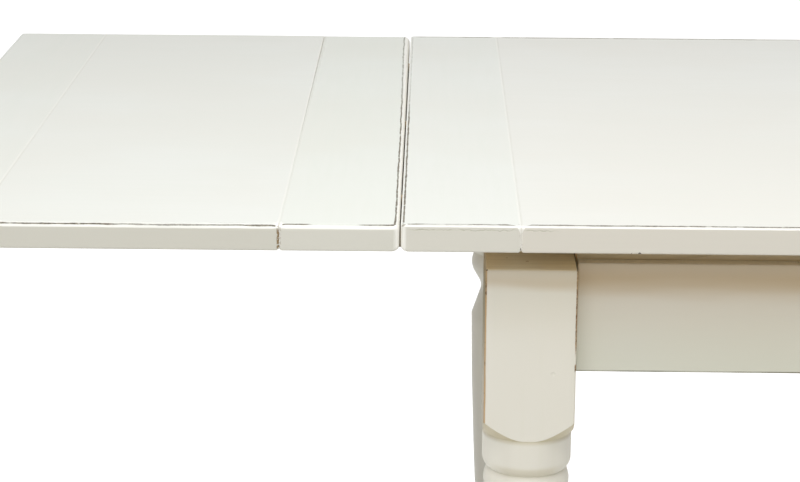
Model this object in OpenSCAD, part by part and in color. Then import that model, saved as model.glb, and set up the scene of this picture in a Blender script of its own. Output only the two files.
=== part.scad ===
// An extending dining table: four turned legs, a bolted apron frame, a main top held a slot
// above the frame, and a plug-in leaf at each end that slides on two runners in that slot.
// Millimetres. +X runs along the table, the near long side is -Y, the floor is Z = 0.

/* [Overall] */
// Height of the table surface above the floor
table_h = 770; // [700:1:800]
// Width of the table across its long sides
table_w = 950; // [880:1:1050]
// Length of the main top
main_l = 1800; // [1650:1:2200]
// Length of each end leaf
leaf_l = 500; // [420:1:560]
// Open joint between a leaf and the main top
leaf_gap = 1.3; // [1:0.1:6]

/* [Boards] */
// Thickness of the top boards
top_t = 25; // [22:1:32]
// Width of each breadboard end
bread_w = 110; // [90:1:130]
// Rounding of the outer arrises
edge_r = 4; // [2:0.5:6]
// Rounding of the free corners, seen from above
corner_r = 6; // [4:0.5:12]
// Bevel along each board seam
seam_v = 1.2; // [0.5:0.1:2.5]
// Thickness of the tongue that joins panel and breadboard
tongue_t = 8; // [6:0.5:10]
// Length of that tongue
tongue_l = 12; // [8:1:20]
// Distance that the tongue stops short of each long side
tongue_stop = 22; // [15:1:40]

/* [Frame] */
// Open slot between the frame and the main top
slot_h = 28; // [24:1:36]
// Distance from the main top's end to the leg
end_over = 79; // [60:1:120]
// Distance from the main top's side to the leg
side_over = 43; // [30:1:60]
// Width of the square leg block
leg_w = 87; // [80:1:94]
// Height of the aprons
apron_h = 108; // [100:1:125]
// Thickness of the aprons
apron_t = 25; // [20:1:28]
// Setback of the apron from the face of the leg
apron_set = 26; // [18:1:30]
// Open joint between the end of an apron and the leg
apron_gap = 1.6; // [0.4:0.1:4]
// Length of the stub tenon on each apron
tenon_l = 20; // [12:1:24]
// Thickness of the stub tenon
tenon_t = 11; // [8:1:13]
// Shoulder above and below the stub tenon
tenon_edge = 16; // [10:1:24]
// Distance from the main top's end to each cross rail
rail_in = 475; // [440:1:500]
// Thickness of the cross rails
rail_t = 25; // [18:1:32]
// Height of the cross rails
rail_h = 70; // [50:1:85]
// Depth of the housing for a cross rail in the apron
rail_housing = 8; // [4:1:12]

/* [Leg turning] */
// Height of the square block down to its corners
block_h = 151; // [140:1:170]
// Height of the sloped shoulder that ends the block
shoulder_h = 20; // [16:1:24]
// Set-in of the barrel from the face of the block
barrel_in = 0.3; // [0.3:0.1:3]
// Length of the barrel below the sloped shoulder
barrel_l = 39; // [32:1:46]
// Depth of the notch between the barrel and the bead
notch_d = 3.5; // [2:0.5:5]
// Height from the notch down to the middle of the bead
bead_drop = 7.5; // [6:0.5:9]
// Reach of the bead past the notch
bead_out = 2.5; // [1:0.5:3]
// Radius of the neck
neck_r = 29.5; // [26:0.5:33]
// Radius of the hollow that turns round at the neck
hollow_r = 18; // [12:1:24]
// Height from the middle of the bead down to the neck
neck_up = 36; // [32:1:40]
// Height from the neck down to the top of the long taper
neck_down = 37; // [33:1:42]
// Radius at the top of the long taper
vase_r = 41; // [38:0.5:43]
// Bulge of the long taper
taper_bulge = 1.6; // [0.4:0.2:2.6]
// Radius of the ankle, where the long taper ends
ankle_r = 31; // [28:0.5:35]
// Height of the ankle above the floor
ankle_z = 150; // [130:1:170]
// Radius of the ring under the ankle
ring_r = 34; // [32:0.5:38]
// Radius of the waist above the foot
waist_r = 24.5; // [20:0.5:28]
// Largest radius of the foot
foot_r = 31.5; // [28:0.5:36]
// Radius of the foot at the floor
toe_r = 21; // [16:0.5:24]
// Height of the widest part of the foot above the floor
foot_z = 84; // [74:1:90]
// Height of the ring under the ankle
ring_h = 18; // [14:1:20]

/* [Leaf runners] */
// Width of each runner
runner_w = 60; // [45:1:75]
// Distance of each runner's middle line from the table's middle
runner_y = 190; // [150:1:220]
// Length of the runner under the main top
runner_in = 620; // [560:1:640]
// Distance from the leaf's outer end to the runner's end
runner_back = 60; // [40:1:90]
// Width of the cross ties between the runners
tie_w = 60; // [40:1:80]
// Width of the strips under the joint between leaf and main top
strip_w = 50; // [40:1:70]
// Thickness of those strips
strip_t = 18; // [14:1:22]
// Distance that those strips reach under the main top
strip_lip = 20; // [12:1:24]
// Distance that those strips stop short of each long side
strip_stop = 83; // [72:1:140]
// Width of the guide strips beside the runners
guide_w = 24; // [20:1:36]
// Space between a runner and what guides it
side_gap = 0.5; // [0.3:0.1:1.5]
// Space between a runner and the frame under it
slide_gap = 0.2; // [0.1:0.1:0.6]
// Space between a runner and the main top over it
ease_gap = 0.4; // [0.2:0.1:1]
// Radius of the locating dowels in the leaf's edge
dowel_r = 5; // [4:0.5:6]
// Length of a locating dowel
dowel_l = 40; // [30:1:50]
// Distance between locating dowels
dowel_pitch = 330; // [250:1:380]

/* [Battens and fastenings] */
// Free space between a runner's inner end and the centre batten
batten_clear = 88; // [60:1:100]
// Width of the centre battens
batten_w = 90; // [60:1:100]
// Thickness of the bearers that stand on the side aprons
bearer_t = 12; // [8:1:16]
// Distance of the inner screws of a batten from the middle
batten_screw_in = 120; // [80:1:160]
// Distance of the outer screws of a batten from the middle
batten_screw_out = 300; // [240:1:340]
// Thickness of the corner blocks
corner_t = 30; // [24:1:34]
// Height of the corner blocks
corner_h = 78; // [70:1:84]
// Distance from the frame's top down to the corner block
corner_drop = 14; // [6:1:20]
// Radius of the leg bolts
bolt_r = 4; // [3:0.5:5]
// Depth of the leg bolt in the leg
bolt_in = 45; // [35:1:50]
// Radius of the screw shanks
screw_r = 2.2; // [1.8:0.1:2.6]
// Radius of the screw heads
head_r = 4.2; // [3.8:0.1:4.8]
// Height of the screw heads
head_h = 2.6; // [2:0.1:3.4]
// Depth of the pockets that sink the screw heads
pocket_d = 8; // [5:0.5:10]
// Depth of the frame screws in the aprons
frame_bite = 25; // [18:1:32]
// Radius of the glides under the feet
glide_r = 12; // [9:0.5:15]
// Height of the glides
glide_h = 4; // [3:0.5:6]
// Radius of the nail on each glide
nail_r = 1.5; // [1:0.1:2]
// Length of the nail on each glide
nail_l = 17; // [12:1:22]

/* [Hidden] */

paint = "#efece0";
raw_wood = "#c9a878";
steel = "#9a9ca0";
nylon = "#d8d4c8";

$fn = 48;
fit = 0.05;            // radial play of shanks, bolts and dowels in their holes
glue_gap = 0.1;        // play around tongues, tenons and housed ends
over = 5;              // how far a cut runs past a face
bite = 1;              // how far joined shapes of one piece run into each other

under_z = table_h - top_t;            // underside of the boards
frame_z = under_z - slot_h;           // top of legs and aprons
half_main = main_l / 2;
leaf_x0 = half_main + leaf_gap;       // inner end of a leaf
leaf_x1 = leaf_x0 + leaf_l;           // outer end of a leaf
leg_x = half_main - end_over - leg_w / 2;
leg_y = table_w / 2 - side_over - leg_w / 2;
rail_x = half_main - rail_in - rail_t / 2;               // middle plane of a cross rail
inner_x = leg_x - leg_w / 2;          // the leg's inner faces
inner_y = leg_y - leg_w / 2;
apron_y = leg_y + leg_w / 2 - apron_set - apron_t / 2;   // middle plane of a side apron
apron_x = leg_x + leg_w / 2 - apron_set - apron_t / 2;   // middle plane of an end apron

// Turned profile of the leg, from the frame's top down
barrel_r = leg_w / 2 - barrel_in;
barrel_z = frame_z - block_h - shoulder_h;               // top of the barrel
notch_r = barrel_r - notch_d;
notch_z = barrel_z - barrel_l;
bead_z = notch_z - bead_drop;
neck_z = bead_z - neck_up;
vase_z = neck_z - neck_down;

// Runner and tie places
runner_x0 = leaf_x0 - runner_in;      // inner end under the main top
runner_x1 = leaf_x1 - runner_back;    // outer end under the leaf
batten_x = runner_x0 - batten_clear - batten_w / 2;      // middle line of a centre batten
runner_z = frame_z + slide_gap;
runner_h = under_z - runner_z;
tie_h = runner_h / 2;
spacer_half = runner_y - runner_w / 2 - side_gap;
guide_y = runner_y + runner_w / 2 + side_gap + guide_w / 2;
guide_x0 = rail_x - rail_t / 2;
guide_x1 = apron_x + apron_t / 2;
top_screw_l = slot_h - pocket_d + top_t * 0.6;
frame_screw_l = slot_h - pocket_d + frame_bite;
strip_screw_l = strip_t - pocket_d + top_t * 0.6;
strip_y0 = runner_y + runner_w / 2 + side_gap;           // inner end of an outer strip
strip_y1 = table_w / 2 - strip_stop;
strip_screw_y = (strip_y0 + dowel_pitch) / 2;            // midway from there to the outer dowel
dowel_in = dowel_l / 2;
dowel_z = table_h - top_t / 2;
socket_spare = 2;                     // free depth behind a dowel in the main top

// Corner block, as distances along the diagonal through the leg
block_off = 0.4;                      // space between the corner block and the leg's inner arris
diagonal = inner_x + inner_y - block_off * sqrt(2);
corner_z = frame_z - corner_drop - corner_h / 2;
seat_in = 20;                         // wood under a corner block screw's line
corner_pocket = 5;
corner_screw_l = 30;
corner_screw_z = 22;
washer_r = bolt_r * 2.5;
washer_h = 2;
bolt_tail = 8;                        // thread that stands out of the nut
nut_r = bolt_r * 1.85;
nut_h = bolt_r * 1.6;

function arc(cx, cy, r, a0, a1, n = 10) =
    [for (i = [0:n]) let (a = a0 + (a1 - a0) * i / n) [cx + r * cos(a), cy + r * sin(a)]];

// Radius of the arc that rises by rise over the half chord half
function bulge_r(half, rise) = (half * half + rise * rise) / (2 * rise);

// Tilt of the line that touches a bead and a hollow, from the steps between their middles
// and the sum of their radii
function flank_a(across, up, sum) = atan2(up, across) - acos(sum / norm([across, up]));

module quadrant(sx, sy) {
    if (sx > 0 && sy > 0) children();
    else if (sx < 0 && sy > 0) mirror([1, 0, 0]) children();
    else if (sx > 0) mirror([0, 1, 0]) children();
    else rotate([0, 0, 180]) children();
}

module side(sx) {
    if (sx > 0) children();
    else mirror([1, 0, 0]) children();
}

module block(x0, x1, y0, y1, z0, z1) {
    translate([x0, y0, z0]) cube([x1 - x0, y1 - y0, z1 - z0]);
}

// Half of a board's section, from its end inwards: rounded arrises, or the bevel of a seam
module round_end(l, t, r) {
    translate([r, 0]) square([l - r, t]);
    translate([0, r]) square([l, t - 2 * r]);
    for (y = [r, t - r]) translate([r, y]) circle(r);
}

module seam_end(l, t, v) {
    polygon([[v, 0], [l, 0], [l, t], [v, t], [0, t - v], [0, v]]);
}

module board_end(l, t, is_round) {
    if (is_round) round_end(l, t, edge_r);
    else seam_end(l, t, seam_v);
}

// A top board from x0 to x1, with its two ends rounded or bevelled
module board(x0, x1, low_round, high_round) {
    l = x1 - x0;
    intersection() {
        translate([x0, 0, under_z]) rotate([90, 0, 0])
            linear_extrude(table_w + 2 * over, center = true) {
                board_end(l / 2, top_t, low_round);
                translate([l, 0]) mirror([1, 0]) board_end(l / 2, top_t, high_round);
            }
        translate([x0 - over, -table_w / 2, under_z]) rotate([90, 0, 90])
            linear_extrude(l + 2 * over) {
                round_end(table_w / 2, top_t, edge_r);
                translate([table_w, 0]) mirror([1, 0]) round_end(table_w / 2, top_t, edge_r);
            }
        translate([x0, 0, under_z - over]) linear_extrude(top_t + 2 * over) {
            plan_end(l / 2, low_round);
            translate([l, 0]) mirror([1, 0]) plan_end(l / 2, high_round);
        }
    }
}

module plan_end(l, is_round) {
    r = is_round ? corner_r : seam_v;
    translate([r, -table_w / 2]) square([l - r, table_w]);
    translate([0, r - table_w / 2]) square([l, table_w - 2 * r]);
    for (y = [-1, 1]) translate([r, y * (table_w / 2 - r)])
        if (is_round) circle(r);
        else circle(r, $fn = 4);
}

// The tongue on a panel's end at x, or with play the groove that takes it
module tongue(x, play = 0) {
    half = table_w / 2 - tongue_stop + play;
    z = dowel_z;
    block(x - bite, x + tongue_l + play, -half, half, z - tongue_t / 2 - play, z + tongue_t / 2 + play);
}

// A screw along +Z whose head sits at the origin
module screw(l) {
    cylinder(h = l, r = screw_r);
    translate([0, 0, -head_h]) cylinder(h = head_h, r = head_r);
}

module screw_hole(l, pocket) {
    cylinder(h = l + fit, r = screw_r + fit);
    translate([0, 0, -pocket - over]) cylinder(h = pocket + over, r = head_r + side_gap);
}

function leg_profile() = let (
        barrel_turn = 15,
        barrel_arc = bulge_r(barrel_turn, notch_d),
        barrel_a = asin(barrel_turn / barrel_arc),
        bead_arc = bulge_r(bead_drop, bead_out),
        bead_x = notch_r + bead_out - bead_arc,
        bead_a = asin(bead_drop / bead_arc),
        hollow_x = neck_r + hollow_r,
        up_a = flank_a(hollow_x - bead_x, neck_up, hollow_r + bead_arc),
        down_a = flank_a(hollow_x - vase_r, neck_down, hollow_r),
        taper_l = norm([vase_r - ankle_r, vase_z - ankle_z]),
        taper_a = atan((vase_r - ankle_r) / (vase_z - ankle_z)),
        taper_arc = bulge_r(taper_l / 2, taper_bulge),
        taper_turn = asin(taper_l / 2 / taper_arc),
        taper_in = taper_arc - taper_bulge,
        waist_step = 3,
        cap_r = 20,
        cap_a = acos((waist_r + waist_step - foot_r + cap_r) / cap_r),
        cap_top = foot_z + cap_r * sin(cap_a),
        ring_low = ankle_z - ring_h - 3,
        waist_half = (ring_low - cap_top) / 2,
        waist_arc = bulge_r(waist_half, waist_step),
        waist_a = asin(waist_half / waist_arc))
    concat(
        [[0, glide_h], [toe_r - 1.5, glide_h], [toe_r, glide_h + 1.5]],
        arc(foot_r - cap_r, foot_z, cap_r, 0, cap_a, 8),
        arc(waist_r + waist_arc, cap_top + waist_half, waist_arc, 180 + waist_a, 180 - waist_a, 8),
        arc(ring_r - ring_h / 2, ring_low + ring_h / 2, ring_h / 2, -70, 70, 10),
        [[ankle_r - 2.5, ankle_z - 3]],
        arc((ankle_r + vase_r) / 2 - taper_in * cos(taper_a),
            (ankle_z + vase_z) / 2 + taper_in * sin(taper_a),
            taper_arc, -taper_a - taper_turn, -taper_a + taper_turn, 8),
        arc(hollow_x, neck_z, hollow_r, 180 + down_a, 180 - up_a, 10),
        arc(bead_x, bead_z, bead_arc, -up_a, bead_a, 10),
        arc(barrel_r - barrel_arc, notch_z + barrel_turn, barrel_arc, -barrel_a, 0, 6),
        [[barrel_r, barrel_z],
         [leg_w / sqrt(2), frame_z - block_h],
         [leg_w, frame_z - block_h + 1], [leg_w, frame_z], [0, frame_z]]);

module leg_mortise(l) {
    translate([0, 0, frame_z - apron_h / 2])
        cube([2 * (l + glue_gap), tenon_t + 2 * glue_gap, apron_h - 2 * tenon_edge + 2 * glue_gap],
             center = true);
}

module bolt_axis() {
    translate([inner_x, inner_y, corner_z]) rotate([0, 90, 45]) children();
}

module leg() {
    ease = 1.5;
    color(paint) difference() {
        translate([leg_x, leg_y, 0]) intersection() {
            rotate_extrude($fn = 96) polygon(leg_profile());
            linear_extrude(frame_z) {
                square([leg_w, leg_w - 2 * ease], center = true);
                square([leg_w - 2 * ease, leg_w], center = true);
                for (x = [-1, 1], y = [-1, 1])
                    translate([x, y] * (leg_w / 2 - ease)) circle(ease);
            }
        }
        translate([inner_x, apron_y, 0]) leg_mortise(tenon_l);
        translate([apron_x, inner_y, 0]) rotate([0, 0, 90]) leg_mortise(tenon_l);
        bolt_axis() translate([0, 0, -over]) cylinder(h = bolt_in + over + fit, r = bolt_r + fit);
        translate([leg_x, leg_y, glide_h - over]) cylinder(h = nail_l + 1 + over, r = nail_r + fit);
    }
}

// An apron along X of length l between the leg faces, middle plane at y = 0
module apron(l) {
    body_l = l - 2 * apron_gap;
    translate([0, 0, frame_z - apron_h / 2]) {
        cube([body_l, apron_t, apron_h], center = true);
        cube([l + 2 * tenon_l, tenon_t, apron_h - 2 * tenon_edge], center = true);
    }
}

module side_apron() {
    color(paint) difference() {
        translate([0, apron_y, 0]) apron(2 * inner_x);
        for (s = [-1, 1])
            block(s * rail_x - rail_t / 2 - glue_gap, s * rail_x + rail_t / 2 + glue_gap,
                  apron_y - apron_t / 2 - over, apron_y - apron_t / 2 + rail_housing + glue_gap,
                  frame_z - rail_h - glue_gap, frame_z + over);
        for (s = [-1, 1]) side(s) {
            corner_screw_lines() screw_hole(corner_screw_l, 0);
            batten_frame_lines() screw_hole(frame_screw_l, 0);
        }
    }
}

module end_apron() {
    color(paint) difference() {
        translate([apron_x, 0, 0]) rotate([0, 0, 90]) apron(2 * inner_y);
        for (s = [-1, 1]) quadrant(1, s) {
            corner_screw_lines() screw_hole(corner_screw_l, 0);
            spacer_lines() screw_hole(frame_screw_l, 0);
        }
    }
}

// Screw lines of one corner block: two into the side apron and two into the end apron
module corner_screw_lines() {
    face_y = apron_y - apron_t / 2;
    face_x = apron_x - apron_t / 2;
    depth = corner_t * sqrt(2);
    for (z = [-1, 1] * corner_screw_z) {
        translate([diagonal - face_y - depth + seat_in, face_y - seat_in + corner_pocket, corner_z + z])
            rotate([-90, 0, 0]) children();
        translate([face_x - seat_in + corner_pocket, diagonal - face_x - depth + seat_in, corner_z + z])
            rotate([0, 90, 0]) children();
    }
}

module corner_block() {
    face_y = apron_y - apron_t / 2;
    face_x = apron_x - apron_t / 2;
    depth = corner_t * sqrt(2);
    color(raw_wood) difference() {
        translate([0, 0, corner_z - corner_h / 2]) linear_extrude(corner_h)
            polygon([[diagonal - face_y, face_y], [face_x, diagonal - face_x],
                     [face_x, diagonal - face_x - depth], [diagonal - face_y - depth, face_y]]);
        corner_screw_lines() screw_hole(corner_screw_l, seat_in);
        bolt_axis() translate([0, 0, -corner_t - over]) cylinder(h = corner_t + 2 * over, r = bolt_r + fit);
    }
}

module leg_bolt() {
    tail = block_off + corner_t + washer_h + nut_h + bolt_tail;
    bolt_axis() translate([0, 0, -tail]) cylinder(h = tail + bolt_in, r = bolt_r);
}

module leg_washer() {
    bolt_axis() translate([0, 0, -block_off - corner_t - washer_h]) difference() {
        cylinder(h = washer_h, r = washer_r);
        translate([0, 0, -over]) cylinder(h = washer_h + 2 * over, r = bolt_r + fit);
    }
}

module leg_nut() {
    bolt_axis() translate([0, 0, -block_off - corner_t - washer_h - nut_h]) difference() {
        cylinder(h = nut_h, r = nut_r, $fn = 6);
        translate([0, 0, -over]) cylinder(h = nut_h + 2 * over, r = bolt_r + fit);
    }
}

module foot_glide() {
    translate([leg_x, leg_y, 0]) {
        rotate_extrude()
            polygon([[0, 0], [glide_r - 2, 0], [glide_r, 1.6], [glide_r, glide_h], [0, glide_h]]);
        translate([0, 0, glide_h]) cylinder(h = nail_l, r = nail_r);
    }
}

module cross_rail() {
    half = apron_y - apron_t / 2 + rail_housing;
    color(raw_wood) block(rail_x - rail_t / 2, rail_x + rail_t / 2, -half, half, frame_z - rail_h, frame_z);
}

// Screws from a batten up into the top, and down into a side apron
module batten_top_lines() {
    for (y = [-batten_screw_out, -batten_screw_in, batten_screw_in, batten_screw_out])
        translate([batten_x, y, frame_z + pocket_d]) children();
}

module batten_frame_lines() {
    for (x = [-1, 1] * batten_w / 4)
        translate([batten_x + x, apron_y, under_z - pocket_d]) rotate([180, 0, 0]) children();
}

module centre_batten() {
    half = apron_y + apron_t / 2;
    color(raw_wood) difference() {
        block(batten_x - batten_w / 2, batten_x + batten_w / 2, -half, half, frame_z, under_z);
        batten_top_lines() screw_hole(top_screw_l, pocket_d);
        for (s = [-1, 1]) quadrant(1, s) batten_frame_lines() screw_hole(frame_screw_l, pocket_d);
    }
}

// Bearers glued on a side apron, between the legs and the battens: they carry the top's long side
module top_bearers() {
    y = apron_y - apron_t / 2;
    batten_in = batten_x - batten_w / 2 - side_gap;
    batten_out = batten_x + batten_w / 2 + side_gap;
    color(raw_wood) {
        block(-batten_in, batten_in, y, y + bearer_t, frame_z, under_z);
        for (s = [-1, 1]) side(s) block(batten_out, inner_x - side_gap, y, y + bearer_t, frame_z, under_z);
    }
}

module spacer_lines() {
    translate([apron_x, spacer_half * 0.6, under_z - pocket_d]) rotate([180, 0, 0]) children();
}

// Fills the slot over the end apron between the two runners, and stops the inner tie
module end_spacer() {
    color(raw_wood) difference() {
        block(apron_x - apron_t / 2, apron_x + apron_t / 2, -spacer_half, spacer_half, frame_z, under_z);
        for (s = [-1, 1]) quadrant(1, s) spacer_lines() screw_hole(frame_screw_l, pocket_d);
    }
}

module guide_lines() {
    for (x = [guide_x0 + 80, guide_x1 - 80])
        translate([x, guide_y, frame_z + pocket_d]) children();
}

module runner_guide() {
    color(raw_wood) difference() {
        block(guide_x0, guide_x1, guide_y - guide_w / 2, guide_y + guide_w / 2, frame_z, under_z);
        guide_lines() screw_hole(top_screw_l, pocket_d);
    }
}

module main_panel() {
    x = half_main - bread_w;
    color(paint) difference() {
        union() {
            board(-x, x, false, false);
            for (s = [-1, 1]) side(s) tongue(x);
        }
        for (s = [-1, 1]) side(s) {
            batten_top_lines() screw_hole(top_screw_l, 0);
            for (t = [-1, 1]) quadrant(1, t) guide_lines() screw_hole(top_screw_l, 0);
        }
    }
}

// Locating dowels point out of the leaf's inner end into the main top
module dowel_lines() {
    for (y = [-1, 0, 1] * dowel_pitch)
        translate([leaf_x0 + dowel_in, y, dowel_z]) rotate([0, -90, 0]) children();
}

module main_breadboard() {
    x = half_main - bread_w;
    color(paint) difference() {
        board(x, half_main, false, true);
        tongue(x, glue_gap);
        dowel_lines() cylinder(h = dowel_l + socket_spare, r = dowel_r + fit);
    }
}

module leaf_screw_lines() {
    for (s = [-1, 1]) {
        for (x = [leaf_x0 + bread_w / 2, (leaf_x0 + runner_x1) / 2, runner_x1 - tie_w / 2])
            translate([x, s * runner_y, runner_z + pocket_d]) children();
        translate([runner_x1 - tie_w / 2, s * spacer_half * 0.5, runner_z + pocket_d]) children();
    }
}

module leaf_panel() {
    color(paint) difference() {
        union() {
            board(leaf_x0 + bread_w, leaf_x1 - bread_w, false, false);
            tongue(leaf_x1 - bread_w);
            translate([leaf_x0 + bread_w, 0, 0]) mirror([1, 0, 0]) tongue(0);
        }
        leaf_screw_lines() screw_hole(top_screw_l, 0);
    }
}

module leaf_inner_breadboard() {
    x = leaf_x0 + bread_w;
    color(paint) difference() {
        board(leaf_x0, x, true, false);
        translate([x, 0, 0]) mirror([1, 0, 0]) tongue(0, glue_gap);
        dowel_lines() translate([0, 0, -fit]) cylinder(h = dowel_l, r = dowel_r + fit);
        leaf_screw_lines() screw_hole(top_screw_l, 0);
        strip_screw_lines() screw_hole(strip_screw_l, 0);
    }
}

module leaf_outer_breadboard() {
    x = leaf_x1 - bread_w;
    color(paint) difference() {
        board(x, leaf_x1, false, true);
        tongue(x, glue_gap);
        leaf_screw_lines() screw_hole(top_screw_l, 0);
    }
}

module leaf_runner(s) {
    y = s * runner_y;
    nose = 6;
    color(raw_wood) difference() {
        translate([0, y + runner_w / 2, 0]) rotate([90, 0, 0]) linear_extrude(runner_w)
            polygon([[runner_x0, runner_z + nose], [runner_x0 + nose, runner_z],
                     [runner_x1 - nose, runner_z], [runner_x1, runner_z + nose],
                     [runner_x1, under_z], [leaf_x0, under_z], [leaf_x0, under_z - ease_gap],
                     [runner_x0, under_z - ease_gap]]);
        block(runner_x0 - over, runner_x0 + tie_w, y - runner_w / 2 - over, y + runner_w / 2 + over,
              runner_z + tie_h, under_z + over);
        leaf_screw_lines() screw_hole(top_screw_l, pocket_d);
    }
}

// Inner tie, half-lapped over the runner ends: it meets the end spacer at full travel
module stop_tie() {
    half = runner_y + runner_w / 2;
    color(raw_wood)
        block(runner_x0, runner_x0 + tie_w, -half, half, runner_z + tie_h, under_z - ease_gap);
}

module leaf_tie() {
    half = runner_y - runner_w / 2;
    color(raw_wood) difference() {
        block(runner_x1 - tie_w, runner_x1, -half, half, runner_z, under_z);
        leaf_screw_lines() screw_hole(top_screw_l, pocket_d);
    }
}

// Screws of the joint strips, at both halves of the middle strip and at each outer one
module strip_screw_lines() {
    for (s = [-1, 1], y = [spacer_half / 2, strip_screw_y])
        translate([leaf_x0 + (strip_w - strip_lip) / 2, s * y, under_z - strip_t + pocket_d]) children();
}

// Strips under the joint: fixed to the leaf, they carry the main top's edge level with it
module joint_strips() {
    x = leaf_x0 - strip_lip;
    color(raw_wood) difference() {
        for (span = [[-strip_y1, -strip_y0], [-spacer_half, spacer_half], [strip_y0, strip_y1]]) {
            block(x, x + strip_w, span[0], span[1], under_z - strip_t, under_z - ease_gap);
            block(leaf_x0, x + strip_w, span[0], span[1], under_z - ease_gap - bite, under_z);
        }
        strip_screw_lines() screw_hole(strip_screw_l, pocket_d);
    }
}

module leaf_dowels() {
    color(raw_wood) dowel_lines() cylinder(h = dowel_l, r = dowel_r);
}

module leaf_screws() {
    color(steel) {
        leaf_screw_lines() screw(top_screw_l - 1);
        strip_screw_lines() screw(strip_screw_l - 1);
    }
}

module every_corner() {
    for (x = [-1, 1], y = [-1, 1]) quadrant(x, y) children();
}

quadrant(-1, -1) leg();  // leg_front_left
quadrant(1, -1) leg();  // leg_front_right
quadrant(-1, 1) leg();  // leg_back_left
quadrant(1, 1) leg();  // leg_back_right
quadrant(1, -1) side_apron();  // apron_front
side_apron();  // apron_back
side(-1) end_apron();  // apron_left
end_apron();  // apron_right
quadrant(-1, -1) corner_block();  // corner_block_front_left
quadrant(1, -1) corner_block();  // corner_block_front_right
quadrant(-1, 1) corner_block();  // corner_block_back_left
quadrant(1, 1) corner_block();  // corner_block_back_right
color(steel) every_corner() leg_bolt();  // leg_bolts
color(steel) every_corner() leg_washer();  // leg_washers
color(steel) every_corner() leg_nut();  // leg_nuts
color(steel) every_corner() corner_screw_lines() screw(corner_screw_l - 1);  // corner_block_screws
color(nylon) every_corner() foot_glide();  // foot_glides
side(-1) cross_rail();  // cross_rail_left
cross_rail();  // cross_rail_right
side(-1) centre_batten();  // centre_batten_left
centre_batten();  // centre_batten_right
side(-1) end_spacer();  // end_spacer_left
end_spacer();  // end_spacer_right
quadrant(1, -1) top_bearers();  // top_bearers_front
top_bearers();  // top_bearers_back
quadrant(-1, -1) runner_guide();  // runner_guide_front_left
quadrant(1, -1) runner_guide();  // runner_guide_front_right
quadrant(-1, 1) runner_guide();  // runner_guide_back_left
quadrant(1, 1) runner_guide();  // runner_guide_back_right
color(steel) for (s = [-1, 1]) side(s) batten_top_lines() screw(top_screw_l - 1);  // batten_top_screws
color(steel) every_corner() batten_frame_lines() screw(frame_screw_l - 1);  // batten_frame_screws
color(steel) every_corner() guide_lines() screw(top_screw_l - 1);  // guide_screws
color(steel) every_corner() spacer_lines() screw(frame_screw_l - 1);  // spacer_screws
main_panel();
side(-1) main_breadboard();  // main_breadboard_left
main_breadboard();  // main_breadboard_right
side(-1) leaf_panel();  // leaf_panel_left
side(-1) leaf_inner_breadboard();  // leaf_inner_breadboard_left
side(-1) leaf_outer_breadboard();  // leaf_outer_breadboard_left
side(-1) leaf_runner(-1);  // runner_front_left
side(-1) leaf_runner(1);  // runner_back_left
side(-1) stop_tie();  // stop_tie_left
side(-1) leaf_tie();  // leaf_tie_left
side(-1) joint_strips();  // joint_strips_left
side(-1) leaf_dowels();  // leaf_dowels_left
side(-1) leaf_screws();  // leaf_screws_left
leaf_panel();  // leaf_panel_right
leaf_inner_breadboard();  // leaf_inner_breadboard_right
leaf_outer_breadboard();  // leaf_outer_breadboard_right
leaf_runner(-1);  // runner_front_right
leaf_runner(1);  // runner_back_right
stop_tie();  // stop_tie_right
leaf_tie();  // leaf_tie_right
joint_strips();  // joint_strips_right
leaf_dowels();  // leaf_dowels_right
leaf_screws();  // leaf_screws_right
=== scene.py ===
import math
from collections import namedtuple

import bmesh
import bpy
from mathutils import Matrix, Vector, noise


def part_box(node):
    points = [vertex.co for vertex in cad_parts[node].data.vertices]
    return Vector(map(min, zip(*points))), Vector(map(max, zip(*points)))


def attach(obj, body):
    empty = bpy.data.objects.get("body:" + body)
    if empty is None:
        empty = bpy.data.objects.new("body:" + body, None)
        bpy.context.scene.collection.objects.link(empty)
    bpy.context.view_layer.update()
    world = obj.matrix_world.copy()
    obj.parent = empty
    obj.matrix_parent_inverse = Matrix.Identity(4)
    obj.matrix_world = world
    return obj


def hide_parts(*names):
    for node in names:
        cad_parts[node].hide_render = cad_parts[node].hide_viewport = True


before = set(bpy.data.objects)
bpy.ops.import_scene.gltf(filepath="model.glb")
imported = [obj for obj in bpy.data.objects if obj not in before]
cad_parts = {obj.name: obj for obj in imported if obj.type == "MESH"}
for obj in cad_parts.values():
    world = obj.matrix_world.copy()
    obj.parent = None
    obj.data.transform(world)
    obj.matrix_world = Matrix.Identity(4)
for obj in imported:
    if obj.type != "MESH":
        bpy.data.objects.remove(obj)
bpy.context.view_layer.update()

scene = bpy.context.scene
scene.view_settings.view_transform = "Standard"
mm = 0.001
print("frame loaded:", len(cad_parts), "nodes")


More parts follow.
